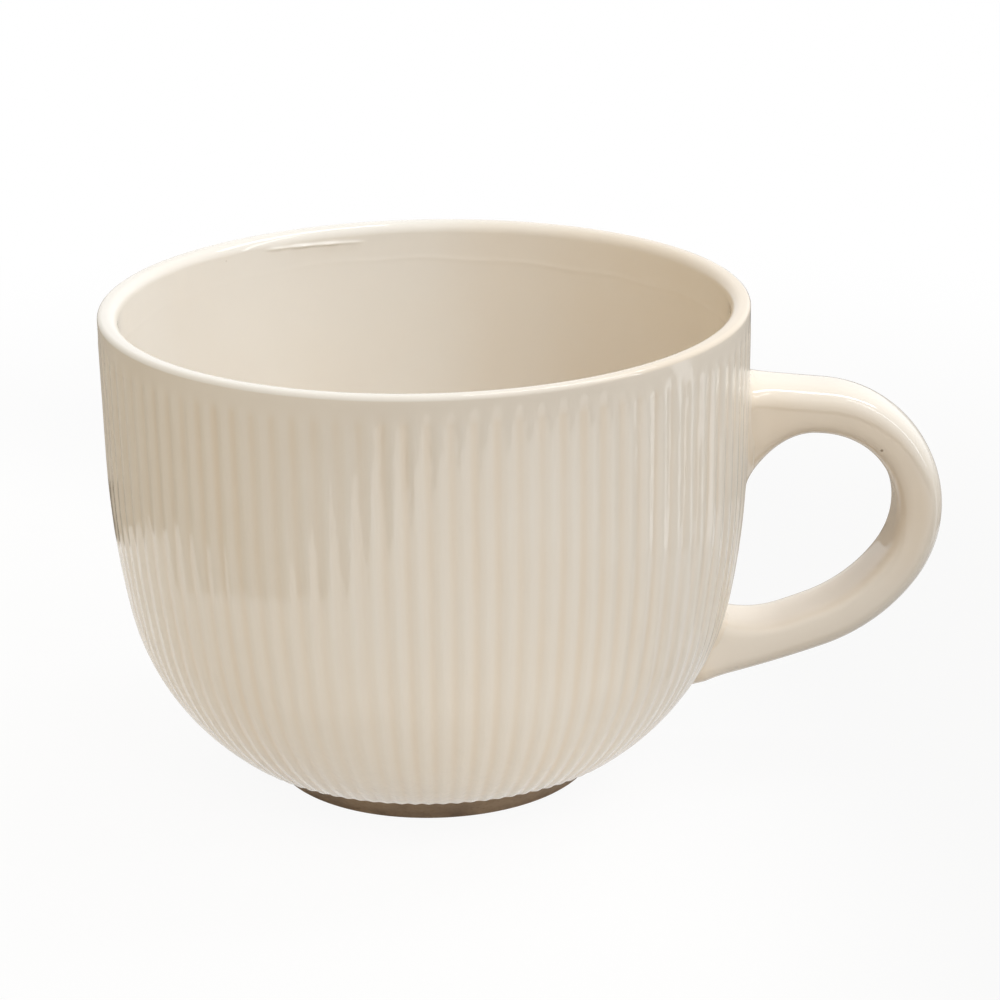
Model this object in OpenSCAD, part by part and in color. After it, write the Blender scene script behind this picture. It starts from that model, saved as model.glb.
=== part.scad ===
// Soup mug: a fluted bowl on a foot ring, with a loop handle luted on with slip.
// Millimetres, +Z up. The origin is on the bowl's axis at table level, and the handle points along +X.

/* [Bowl] */
// Outside diameter at the rim
rim_d = 120; // [100:1:150]
// Height from the table to the top of the lip
mug_h = 91; // [80:1:115]
// Thickness of the wall
wall_t = 4.2; // [3:0.1:6]
// Thickness of the rounded lip
lip_t = 3.7; // [2.6:0.1:5]
// Width of the flat land on top of the lip
lip_land = 1.9; // [0.2:0.1:2.2]
// Outward lean of the upper wall in degrees
wall_lean = 0.64; // [0.2:0.02:3]
// Radius of the belly curve under the upper wall
belly_r = 165; // [120:1:210]
// Slope in degrees from upright where the belly passes into the heel
belly_a = 10.8; // [7:0.2:14]
// Radius of the heel curve that tucks in to the foot
heel_r = 45; // [36:1:54]
// Slope in degrees from upright where the heel ends above the foot
heel_a = 54.2; // [48:0.2:72]
// Thickness of the floor
floor_t = 5; // [3:0.2:8]
// Radius of the hollow between the floor and the wall inside
floor_round_r = 14; // [8:0.5:18]

/* [Flutes] */
// Number of flutes round the bowl
flute_n = 96; // [72:4:112]
// Depth of a flute at the rim's width
flute_d = 0.3; // [0.2:0.05:1]
// Distance that the flutes' crests stand out past the plain band under the lip
crest_step = 0.1; // [0.05:0.05:0.5]
// Height of the plain band under the lip
plain_h = 1.25; // [1:0.25:6]
// Height over which the flutes fade in below the plain band
fade_h = 5; // [4:0.5:14]

/* [Foot] */
// Height of the foot ring
foot_h = 6.8; // [2:0.1:9]
// Width of the foot ring
foot_w = 5.5; // [3.5:0.1:8]
// Distance of the foot ring in from the bowl's lower edge
foot_inset = 3.8; // [0.8:0.1:6]
// Distance that the foot ring draws in towards the table
foot_draw = 4.6; // [0.2:0.1:6]
// Radius of the foot ring's lower edges
foot_edge_r = 0.8; // [0.3:0.1:1.4]

/* [Handle] */
// Height of the handle's centre line where it leaves the wall
handle_z = 70.4; // [66:0.1:76]
// Downward slope of the upper arm in degrees
arm_drop = 6; // [2:0.5:14]
// Length of the straight upper arm
arm_l = 14.4; // [11:0.1:20]
// Radius of the round bend at the outer end
bend_r = 20; // [17:0.1:23]
// Angle of the round bend in degrees
bend_a = 120; // [110:0.5:124]
// Radius of the slower sweep back to the bowl
sweep_r = 31.4; // [26:0.1:38]
// Angle of the slower sweep in degrees
sweep_a = 35; // [30:0.5:40]
// Height of the handle's centre line where it meets the bowl again
lower_z = 19.6; // [14:0.1:24]
// Thickness of the handle at its upper arm
handle_t = 9.4; // [7:0.1:12]
// Thickness of the handle at its lower arm
handle_low_t = 8.8; // [6.5:0.1:12]
// Distance by which the finger side of the handle flattens towards its lower arm
finger_drop = 0.8; // [0:0.1:1.5]
// Width of the handle across the mug
handle_w = 14.5; // [10:0.1:18]
// Depth of the web under the upper root
upper_web = 12.5; // [4:0.1:15]
// Length of the web under the upper root
upper_web_l = 13.5; // [7:0.1:16]
// Depth of the web over the lower root
lower_web = 9.4; // [0.5:0.1:11]
// Length of the web over the lower root
lower_web_l = 18; // [4:0.1:21]
// Sideways flare of each root
root_flare = 1.6; // [0.4:0.1:3]
// Length of the sideways flare
root_flare_l = 5; // [3:0.1:8]

/* [Slip joints] */
// Thickness of slip between the wall's crests and the handle
slip_t = 0.6; // [0.3:0.1:1.2]
// Width of the bead of slip round each root
bead_w = 0.9; // [0.4:0.1:1.6]

/* [Hidden] */

// Facets of a full turn where a curve is drawn as a mesh
$fn = 360;
// Run past the surface for every cut
overrun = 3;
// Depth to which root pieces run into the wall before they are cut to it
embed = 10;
// Facets up the heel, the belly and the upper wall of the fluted outside
heel_steps = 6;
belly_steps = 2;
wall_bands = 3;
// Facets of the small rounds, and of each arc of the plain band, the lining and the handle's seat
round_steps = 3;
lining_steps = 10;
// Rings along the handle's arms, bend and sweep, and points round its section
arm_steps = 11;
bend_steps = 13;
sweep_steps = 4;
tail_steps = 9;
section_points = 28;
// Bluntness of the handle's section outside and towards the fingers: 1 is an ellipse, less is squarer
section_share = 0.75;
inner_section_share = 0.45;
// Fullness of a root's web between its two ends
web_share = -0.3;
// Depth shares of the points across one flute, from its valley round to the next
flute_shares = [1, 0.5, 0, 0.5];
// Share of the flute depth that is left at the bowl's lower edge
edge_depth_share = 0.5;
// Flutes to each side of the handle that its slip can reach
patch_flutes = 5;

glaze = "#e8dfd0";
bare_clay = "#b9a48c";
slip_clay = "#ddd0bb";

// Bowl profile: centres and levels, in radius and height
rim_r = rim_d / 2;
lip_r = (lip_t - lip_land) / 2;
lip_z = mug_h - lip_r;
seat_z = foot_h;
wall_z = seat_z + heel_r * (sin(heel_a) - sin(belly_a)) + belly_r * (sin(belly_a) - sin(wall_lean));
belly_c = [wall_radius(wall_z), wall_z] - belly_r * slope_dir(wall_lean);
heel_c = belly_c + (belly_r - heel_r) * slope_dir(belly_a);
seat_r = heel_c[0] + heel_r * cos(heel_a);
floor_z = seat_z + floor_t;
flute_top_z = lip_z - plain_h;

// Direction out of the bowl, in radius and height, where the wall slopes by angle a from upright
function slope_dir(a) = [cos(a), -sin(a)];

// Radius of the leaning upper wall at height z: of its plain band, and of the flutes' crests
function band_radius(z) = rim_r - (lip_z - z) * tan(wall_lean);
function wall_radius(z) = band_radius(z) + crest_step;

// Points of an arc about c, with the slope running from a to b in n steps
function slope_arc(c, r, a, b, n) = [for (i = [0:n]) c + r * slope_dir(a + (b - a) * i / n)];

// The list without its first point
function rest(list) = [for (i = [1:len(list) - 1]) list[i]];

// The bowl's outside at distance out from its crests, from the lower edge up to the lip
function outside(out, n) = concat(
    slope_arc(heel_c, heel_r + out, heel_a, belly_a, n),
    rest(slope_arc(belly_c, belly_r + out, belly_a, wall_lean, n)),
    [[wall_radius(lip_z) + out, lip_z]]);

// Share of the flute depth at height z: none in the plain band, then fading in
function fade(z) = ease(max(0, min(1, 1 - (flute_top_z - z) / fade_h)), 0);

// Eased fall from 1 to 0 as u goes from 0 to 1, fuller in the middle with a larger share
function ease(u, share) = u >= 1 ? 0 : pow(1 - max(u, 0), 2) * (1 + share * max(u, 0));

// Flute depth at radius r and height z, in proportion to the flute's pitch there
function flute_depth(r, z) = flute_d * r / rim_r * fade(z);

// Stations up the fluted outside: radius, height, slope along which a flute is cut in, and flute depth
function stations() = concat(
    [[seat_r, seat_z, 0, flute_d * seat_r / rim_r * edge_depth_share]],
    [for (i = [1:heel_steps]) station(heel_c, heel_r, heel_a + (belly_a - heel_a) * i / heel_steps)],
    [for (i = [1:belly_steps]) station(belly_c, belly_r, belly_a + (wall_lean - belly_a) * i / belly_steps)],
    [for (i = [1:wall_bands]) wall_station(wall_z + (flute_top_z - wall_z) * i / wall_bands)]);

function station(c, r, a) = let (p = c + r * slope_dir(a)) [p[0], p[1], a, flute_depth(p[0], p[1])];
function wall_station(z) = [wall_radius(z), z, wall_lean, flute_depth(wall_radius(z), z)];

// Point k round the fluted outside at station s, with a valley over the handle's plane
function flute_point(s, k) =
    let (n = len(flute_shares),
         cut = s[3] * flute_shares[(k % n + n) % n],
         r = s[0] - cut * cos(s[2]),
         a = 360 * k / (n * flute_n))
    [r * cos(a), r * sin(a), s[1] + cut * sin(s[2])];

// Closed skin over a list of rings, all with as many points, capped from each end ring's middle
module skin(rings) {
    m = len(rings[0]);
    n = len(rings);
    points = concat([for (ring = rings) each ring], [middle(rings[0]), middle(rings[n - 1])]);
    sides = [for (i = [0:n - 2], j = [0:m - 1])
        let (a = i * m + j, b = i * m + (j + 1) % m)
        each [[a, b + m, b], [a, a + m, b + m]]];
    first_cap = [for (j = [0:m - 1]) [n * m, j, (j + 1) % m]];
    last_cap = [for (j = [0:m - 1]) [n * m + 1, (n - 1) * m + (j + 1) % m, (n - 1) * m + j]];
    polyhedron(points, concat(sides, first_cap, last_cap));
}

// Middle of a ring of points
function middle(ring) = [for (i = [0:2]) sum([for (p = ring) p[i]]) / len(ring)];
function sum(list) = list * [for (value = list) 1];

// Solid bowl with its flutes, before it is hollowed
module fluted_solid() {
    last = flute_n * len(flute_shares) - 1;
    skin([for (s = stations()) [for (k = [0:last]) flute_point(s, k)]]);
}

// Wedge of that solid under the handle, with the same facets
module fluted_patch() {
    reach = patch_flutes * len(flute_shares);
    skin([for (s = stations()) concat([for (k = [-reach:reach]) flute_point(s, k)], [[0, 0, s[1]]])]);
}

// Plain band and rounded outer edge of the lip, tucked into the fluted wall, before they are hollowed
module rim_band() {
    tuck_z = flute_top_z - crest_step;
    tuck_r = band_radius(tuck_z);
    outline = concat(
        [[0, tuck_z - overrun], [tuck_r - overrun, tuck_z - overrun], [tuck_r, tuck_z]],
        slope_arc([rim_r - lip_r, lip_z], lip_r, 0, -90, lining_steps),
        [[0, mug_h]]);
    rotate_extrude() polygon(outline);
}

// Inside of the bowl: flat floor, hollow corner, wall at an even thickness and rounded lip
module lining() {
    inner_heel_r = heel_r - wall_t;
    corner_z = floor_z + floor_round_r;
    corner_r = heel_c[0] + sqrt(pow(inner_heel_r - floor_round_r, 2) - pow(heel_c[1] - corner_z, 2));
    corner_a = atan2(heel_c[1] - corner_z, corner_r - heel_c[0]);
    lip_arc = slope_arc([rim_r - lip_t + lip_r, lip_z], lip_r, -180, -90, round_steps);
    mouth = lip_arc[round_steps];
    flare = mouth - lip_arc[round_steps - 1];
    outline = concat(
        [[0, floor_z]],
        slope_arc([corner_r, corner_z], floor_round_r, 90, corner_a, lining_steps),
        rest(slope_arc(heel_c, inner_heel_r, corner_a, belly_a, lining_steps)),
        rest(slope_arc(belly_c, belly_r - wall_t, belly_a, wall_lean, lining_steps)),
        lip_arc,
        [mouth + flare, [mouth[0] + flare[0], mug_h + overrun], [0, mug_h + overrun]]);
    rotate_extrude() polygon(outline);
}

module bowl() {
    color(glaze) difference() {
        union() {
            fluted_solid();
            rim_band();
        }
        lining();
    }
}

module foot_ring() {
    top_r = seat_r - foot_inset;
    low_r = top_r - foot_draw;
    in_r = low_r - foot_w;
    outline = concat(
        slope_arc([low_r - foot_edge_r, foot_edge_r], foot_edge_r, 90, 0, round_steps),
        [[top_r, foot_h], [in_r, foot_h]],
        slope_arc([in_r + foot_edge_r, foot_edge_r], foot_edge_r, 180, 90, round_steps));
    color(bare_clay) rotate_extrude() polygon(outline);
}

// Direction of heading a in X and Z, and the end of an arc that turns right from point p with heading a
function heading(a) = [cos(a), sin(a)];
function turned(p, a, r, turn) = p + r * ([sin(a), -cos(a)] - [sin(a - turn), -cos(a - turn)]);

// Handle's centre line in X and Z: an arm out of the wall, a bend, a sweep and a tail back to the heel.
// The tail runs straight on from the sweep, and bows only as far as it must to end at the lower root.
upper_root = [wall_radius(handle_z), handle_z];
bend_start = upper_root + arm_l * heading(-arm_drop);
sweep_start = turned(bend_start, -arm_drop, bend_r, bend_a);
tail_a = -arm_drop - bend_a - sweep_a;
tail_start = turned(sweep_start, -arm_drop - bend_a, sweep_r, sweep_a);
lower_root = [heel_c[0] + sqrt(heel_r * heel_r - pow(heel_c[1] - lower_z, 2)), lower_z];
tail_l = norm(lower_root - tail_start);
tail_run = tail_l * heading(tail_a);
tail_bow = lower_root - tail_start - tail_run;
bend_l = bend_r * bend_a * PI / 180;
sweep_l = sweep_r * sweep_a * PI / 180;
handle_l = arm_l + bend_l + sweep_l + tail_l;

// Place on the centre line at a distance along it from the upper root: X, Z and heading
function along(d) =
    d < arm_l ? concat(upper_root + d * heading(-arm_drop), [-arm_drop]) :
    d < arm_l + bend_l ? on_arc(bend_start, -arm_drop, bend_r, (d - arm_l) / bend_l * bend_a) :
    d < handle_l - tail_l
        ? on_arc(sweep_start, -arm_drop - bend_a, sweep_r, (d - arm_l - bend_l) / sweep_l * sweep_a)
        : on_tail((d - handle_l + tail_l) / tail_l);
function on_arc(p, a, r, turn) = concat(turned(p, a, r, turn), [a - turn]);
function on_tail(share) =
    let (way = tail_run + 2 * share * tail_bow)
    concat(tail_start + share * (tail_run + share * tail_bow), [atan2(way[1], way[0])]);

// Distances of the rings along the centre line, run into the wall at both ends
function ring_places() = concat(
    [-embed],
    [for (i = [0:arm_steps - 1]) arm_l * i / arm_steps],
    [for (i = [0:bend_steps - 1]) arm_l + bend_l * i / bend_steps],
    [for (i = [0:sweep_steps - 1]) arm_l + bend_l + sweep_l * i / sweep_steps],
    [for (i = [0:tail_steps]) handle_l - tail_l + tail_l * i / tail_steps],
    [handle_l + embed]);

// Ring of the section at distance d, grown by extra, with the section's size taken at distance at
function section_ring(d, at, extra = 0) =
    let (place = along(d),
         low = handle_l - at,
         half_t = (handle_t + (handle_low_t - handle_t) * at / handle_l) / 2 + extra,
         web = upper_web * ease(at / upper_web_l, web_share) + lower_web * ease(low / lower_web_l, web_share),
         finger_t = half_t - finger_drop * at / handle_l + web,
         half_w = handle_w / 2 + extra
             + root_flare * (ease(at / root_flare_l, 0) + ease(low / root_flare_l, 0)))
    [for (i = [0:section_points - 1])
        let (a = 360 * i / section_points,
             share = cos(a) < 0 ? inner_section_share : section_share,
             u = blunt(cos(a), share) * (cos(a) < 0 ? finger_t : half_t),
             v = blunt(sin(a), share) * half_w)
        [place[0] - u * sin(place[2]), v, place[1] + u * cos(place[2])]];
function blunt(value, share) = sign(value) * pow(abs(value), share);

// Full width of the bowl as far out as the handle's seat, one layer of slip off the crests
module seat_solid() {
    outline = outside(slip_t, lining_steps);
    rotate_extrude() polygon(concat([[0, outline[0][1]]], outline, [[0, lip_z]]));
}

module handle() {
    color(glaze) difference() {
        skin([for (d = ring_places()) section_ring(d, min(max(d, 0), handle_l))]);
        seat_solid();
    }
}

// Slip under the root at distance at along the handle, between the bowl's outside and the handle's seat
module slip_joint(at) {
    color(slip_clay) difference() {
        intersection() {
            skin([for (d = [at - embed, at + embed]) section_ring(d, at, bead_w)]);
            seat_solid();
        }
        fluted_patch();
        rim_band();
    }
}

module upper_slip_joint() {
    slip_joint(0);
}

module lower_slip_joint() {
    slip_joint(handle_l);
}

bowl();
foot_ring();
handle();
upper_slip_joint();
lower_slip_joint();
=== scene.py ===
"""Soup mug in cream glaze, dressed around its packed solids.

The fluted bowl, its foot ring, the loop handle and the two slip joints are surfaces worked out from
formulas in the packed frame: metres, +Z up, the bowl's axis on Z, the floor at zero and the handle
along +X.
"""

import math

import bpy
import numpy as np
from bpy.props import FloatProperty, FloatVectorProperty, IntProperty, PointerProperty
from bpy.types import Operator, Panel, PropertyGroup
from mathutils import Matrix, Vector


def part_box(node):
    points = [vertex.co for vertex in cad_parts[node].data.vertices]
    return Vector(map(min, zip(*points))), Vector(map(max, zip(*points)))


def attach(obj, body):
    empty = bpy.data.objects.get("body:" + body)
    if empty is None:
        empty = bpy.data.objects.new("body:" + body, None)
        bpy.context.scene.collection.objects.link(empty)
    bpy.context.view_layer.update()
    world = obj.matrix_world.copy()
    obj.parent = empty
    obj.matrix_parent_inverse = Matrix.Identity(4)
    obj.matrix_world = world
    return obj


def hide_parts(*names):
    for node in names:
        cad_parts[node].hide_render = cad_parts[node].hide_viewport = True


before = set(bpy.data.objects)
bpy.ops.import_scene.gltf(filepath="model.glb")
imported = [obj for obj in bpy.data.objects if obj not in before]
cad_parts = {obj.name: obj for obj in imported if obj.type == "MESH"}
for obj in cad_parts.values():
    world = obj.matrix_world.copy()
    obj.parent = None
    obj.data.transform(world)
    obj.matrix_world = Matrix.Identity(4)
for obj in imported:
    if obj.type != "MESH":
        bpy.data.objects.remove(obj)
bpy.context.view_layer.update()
BOWL_LOW, BOWL_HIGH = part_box("bowl")

bl_info = {
    "name": "Soup mug",
    "version": (1, 0, 0),
    "blender": (4, 5, 0),
    "location": "View3D > Sidebar > Soup mug",
    "description": "Builds a fluted soup mug in cream glaze, piece by piece",
    "category": "Add Mesh",
}

MM = 0.001
BODY = "root"

# Fineness of the surfaces
FLUTE_COLUMNS = 8
HEEL_ROWS, BELLY_ROWS, WALL_ROWS, FADE_ROWS, LIP_ROWS = 24, 7, 3, 8, 7
LINING_ROWS, ROLL_ROWS, RIDGE_ROWS, CORNER_ROWS, FLOOR_ROWS, EDGE_ROWS = 10, 14, 16, 8, 5, 4
FOOT_COLUMNS, FOOT_EDGE_ROWS = 288, 6
HANDLE_RINGS, HANDLE_POINTS = 180, 72
COLLAR_POINTS, COLLAR_ROWS = 288, 9
RING_STEPS = 361
HALVINGS = 40

# Fine rows inside: half heights about the roll, and about the ridge in its widths, and shares below
ROLL_SPAN, RIDGE_SPAN = 0.8 * MM, 4
LINING_SHARES = (0.6, 0.8)

# Waves in the flutes' depth, as a count round the bowl and a phase, and the turn of the deepest side
FLUTE_WAVES = ((5, 1.1), (11, 0.4), (23, 2.3))
DEEP_TURN = 0.4

# Where the ridge and the roll inside lie, how far they wander and how weak or broken they get
RIDGE_AT, RIDGE_LEAST, RIDGE_WANDER = math.radians(50), 0.15, 0.5 * MM
ROLL_AT, ROLL_REACH, ROLL_SINK = math.radians(113), math.radians(11), 0.45 * MM
ROLL_STROKES, ROLL_BREAK = 60, 0.25

# Flatness of the finger side: its least share, and where along the handle it grows and over what share
FLAT_LEAST, FLAT_FROM, FLAT_RUN = 0.45, 0.3, 0.45

# How deep the slip's two edges, its back and its inner ring lie in the handle and the wall
RISE_SINK, REACH_SINK, BACK_SINK, INNER_SINK = 0.02 * MM, 0.03 * MM, 0.5 * MM, 0.6 * MM
BACK_SHARE = 0.8

# Thickness of the glaze, where 0 is thin, 0.5 is even and 1 is pooled, and where it gets more or less
BAND_GLAZE, CREST_GLAZE, VALLEY_MORE = 0.5, 0.33, 0.34
# The lip and the lining get thin, pale glaze on the left and pooled, dark glaze on the right: painted
# light and shade
LINING_GLAZE, LINING_SHADE, LINING_SHADE_SHIFT = 0.1, 0.75, 0.2
# On the handle, pale tops, outer bend and lower sides and dark undersides are painted light and shade
HANDLE_GLAZE, ROOT_MORE, PAINTED_TOP_LIGHT, PAINTED_BEND_LIGHT, PAINTED_SIDE_LIGHT = 0.9, 0.2, 0.3, 0.75, 0.3
# The last is the least share of the foot ring's dark patches, which grow towards the table
SLIP_GLAZE, WALL_RUNS, LOWNESS_LEAST = 0.8, 3, 0.35

# Gloss and bump of the finishes
GLAZE_IOR, CLOUDING = 1.55, 0.35
BUMP, GLAZE_BUMP, CLAY_BUMP = 0.05 * MM, 1.0, 0.5

# The stage: sensor in millimetres, clip distances, reach of the floor's tones, narrowness of a lobe
SENSOR_W, CLIP = 36, (0.01, 100)
TONE_NEAR, TONE_FAR, SHEET_EDGE = 0.12, 0.4, 0.04
LOBE_POWER = 8


def size(label, words, value):
    """A length that a user can change, given in metres."""
    return FloatProperty(name=label, description=words, default=value, min=0, precision=5,
                         subtype="DISTANCE", unit="LENGTH")


def angle(label, words, degrees):
    """An angle that a user can change, given in degrees."""
    return FloatProperty(name=label, description=words, default=math.radians(degrees), subtype="ANGLE",
                         unit="ROTATION")


def number(label, words, value, low, high):
    """A plain number that a user can change between two limits."""
    return FloatProperty(name=label, description=words, default=value, min=low, max=high)


def share(label, words, value):
    """A share from none to all."""
    return FloatProperty(name=label, description=words, default=value, min=0, max=1, subtype="FACTOR")


def colour(label, words, value):
    """A colour that a user can change, in linear red, green and blue."""
    return FloatVectorProperty(name=label, description=words, default=value, size=3, min=0, max=1,
                               subtype="COLOR")


class MugBowl(PropertyGroup):
    """Sizes of the bowl and its flutes."""
    height: size("Height", "From the table to the top of the lip", BOWL_HIGH.z)
    seat_z: size("Seat height", "Level of the bowl's underside", BOWL_LOW.z)
    rim_d: size("Rim diameter", "Outside diameter at the rim", 120 * MM)
    wall_t: size("Wall", "Thickness of the wall", 4.2 * MM)
    lip_t: size("Lip", "Thickness of the rounded lip", 3.7 * MM)
    lip_land: size("Lip land", "Width of the flat land on top of the lip", 1.9 * MM)
    lip_inner_r: size("Lip inside", "Radius of the lip's softer inner side", 2.0 * MM)
    wall_lean: angle("Wall lean", "Outward lean of the upper wall", 0.64)
    belly_r: size("Belly radius", "Radius of the belly curve under the upper wall", 165 * MM)
    belly_a: angle("Belly slope", "Slope where the belly passes into the heel", 10.8)
    heel_r: size("Heel radius", "Radius of the heel curve that tucks in to the foot", 45 * MM)
    heel_a: angle("Heel slope", "Slope where the heel ends above the foot", 54.2)
    edge_r: size("Lower edge", "Radius of the bowl's lower edge", 1.6 * MM)
    floor_t: size("Floor", "Thickness of the floor", 5 * MM)
    floor_round_r: size("Floor round", "Radius of the hollow between floor and wall", 14 * MM)
    ridge_drop: size("Ridge drop", "Depth below the lip of a faint turned ridge", 6.6 * MM)
    ridge_t: size("Ridge", "Height of that ridge off the wall", 0.09 * MM)
    ridge_w: size("Ridge width", "Half width of that ridge", 0.5 * MM)
    roll_drop: size("Roll drop", "Depth below the lip of a roll of glaze", 2.9 * MM)
    roll_t: size("Roll", "Height of that roll off the wall", 0.5 * MM)
    roll_w: size("Roll width", "Half width of that roll", 0.33 * MM)
    flute_n: IntProperty(name="Flutes", description="Number of flutes round the bowl", default=96,
                         min=12, max=160)
    flute_d: size("Flute depth", "Depth of a flute at the rim's width", 0.21 * MM)
    flute_power: number("Flute narrowness", "Over 2 the valleys are narrower than the crests", 2.0, 1, 6)
    crest_step: size("Crest step", "Distance that the crests stand out past the plain band", 0.1 * MM)
    plain_h: size("Plain band", "Height of the plain band under the lip", 0.9 * MM)
    fade_h: size("Fade", "Height over which the flutes fade in", 3.6 * MM)
    unevenness: share("Unevenness", "Share by which the flutes differ in depth", 0.28)


class MugFoot(PropertyGroup):
    """Sizes of the foot ring."""
    width: size("Width", "Width of the foot ring", 5.5 * MM)
    inset: size("Inset", "Distance in from the bowl's lower edge", 3.8 * MM)
    draw: size("Draw", "Distance that the ring draws in towards the table", 4.6 * MM)
    edge_r: size("Edge", "Radius of the ring's lower edges", 0.8 * MM)


class MugHandle(PropertyGroup):
    """Sizes of the handle and of the slip round its roots."""
    upper_z: size("Upper root", "Height of the centre line where it leaves the wall", 70.4 * MM)
    lower_z: size("Lower root", "Height of the centre line at its lower end", 19.6 * MM)
    arm_drop: angle("Arm drop", "Downward slope of the upper arm", 6)
    arm_l: size("Arm", "Length of the straight upper arm", 14.4 * MM)
    bend_r: size("Bend radius", "Radius of the round bend at the outer end", 20 * MM)
    bend_a: angle("Bend", "Angle of the round bend", 120)
    sweep_r: size("Sweep radius", "Radius of the slower sweep back to the bowl", 31.4 * MM)
    sweep_a: angle("Sweep", "Angle of the slower sweep", 35)
    thickness: size("Thickness", "Thickness at the upper arm", 9.4 * MM)
    low_thickness: size("Low thickness", "Thickness at the lower arm", 8.8 * MM)
    finger_drop: size("Finger drop", "Flattening of the finger side, lower arm", 0.8 * MM)
    width: size("Width", "Width across the mug", 14.5 * MM)
    bluntness: number("Outer bluntness", "1 is an oval section, and less is squarer", 0.75, 0.3, 1)
    inner_bluntness: number("Inner bluntness", "The same, finger side of the lower arm", 0.42, 0.3, 1)
    upper_web: size("Upper web", "Depth of the web under the upper root", 12.5 * MM)
    upper_web_l: size("Upper web length", "Length of the web under the upper root", 13.5 * MM)
    lower_web: size("Lower web", "Depth of the web over the lower root", 9.4 * MM)
    lower_web_l: size("Lower web length", "Length of the web over the lower root", 18 * MM)
    web_fullness: number("Web fullness", "Fullness of a web between its two ends", -0.3, -1, 2)
    flare: size("Flare", "Sideways flare of each root", 1.6 * MM)
    flare_l: size("Flare length", "Length of the sideways flare", 5 * MM)
    embed: size("Embed", "Depth to which the roots run into the wall", 1.6 * MM)
    collar_w: size("Collar", "Width of the slip's fillet on the wall", 1.3 * MM)
    collar_l: size("Collar rise", "Rise of the slip's fillet along the handle", 1.5 * MM)


class MugFinish(PropertyGroup):
    """Colours of the glaze and the clay."""
    cream: colour("Cream glaze", "Glaze of even thickness", (0.835, 0.763, 0.668))
    thin: colour("Thin glaze", "Glaze drawn thin over a crest or an edge", (0.86, 0.82, 0.755))
    pooled: colour("Pooled glaze", "Glaze run thick in a valley or a corner", (0.81, 0.70, 0.565))
    speck: colour("Specks", "Iron specks in the glaze", (0.30, 0.22, 0.14))
    clay: colour("Bare clay", "Fired clay of the foot ring", (0.36, 0.26, 0.172))
    # Dark clay: grains of grog, and patches that grow darker towards the table
    clay_dark: colour("Dark clay", "Worn and stained parts of the foot ring", (0.19, 0.13, 0.085))


class MugStage(PropertyGroup):
    """The camera, the floor and the lights."""
    camera_distance: size("Camera distance", "From the camera to the middle of the bowl's axis", 600 * MM)
    camera_rise: angle("Camera rise", "Height of the camera above the horizon", 19.93)
    camera_roll: angle("Camera roll", "Turn of the camera about its own line of sight", -1.373)
    focal_px: FloatProperty(name="Focal length", description="In pixels of the picture", default=3173.9)
    picture_px: FloatProperty(name="Picture", description="Width of the picture in pixels", default=1000)
    aim_px: FloatVectorProperty(name="Aim", description="Pixel where the middle of the axis lies", size=2,
                                default=(429.1, 530.0))
    aim_z: size("Aim height", "Height of that point on the axis", 45.4 * MM)
    floor_w: size("Floor", "Width of the floor", 8.0)
    warm: colour("Warm light", "Light from the left", (1.0, 0.88, 0.66))
    cool: colour("Cool light", "Light from the front right, behind and above", (1.0, 0.98, 0.95))
    tube: colour("Tube light", "Light of the two tube lamps", (0.86, 0.93, 1.0))
    sheet: colour("Sheet", "Pale ground under the mug", (0.80, 0.77, 0.72))
    table: colour("Table", "Darker ground round it", (0.20, 0.18, 0.15))
    sheet_at: FloatVectorProperty(name="Sheet centre", description="Middle of the pale ground", size=3,
                                  default=(-0.271, -0.10, 0.0), subtype="XYZ", unit="LENGTH")
    sheet_r: size("Sheet radius", "Radius of the pale ground", 0.34)
    floor_white: share("Floor white", "Share of plain white in the floor near the mug", 0.93)
    floor_gloss: share("Floor in gloss", "Share of plain white in the floor that reflections see", 0.9)


def spread(a, radius):
    """Points at slope a from upright on a circle of that radius, as radius and height."""
    return radius * np.stack([np.cos(a), -np.sin(a)], -1)


def slope_arc(centre, radius, start, stop, rows):
    """Arc about centre whose slope from upright runs evenly from start to stop, with its slopes."""
    a = np.linspace(start, stop, rows + 1)
    return centre + spread(a, radius), a


def ease(u, fullness=0.0):
    """Falls from 1 to 0 as u goes from 0 to 1: (1 - u) squared, times 1 + fullness u."""
    u = np.clip(u, 0, 1)
    return (1 - u) ** 2 * (1 + fullness * u)


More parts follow.
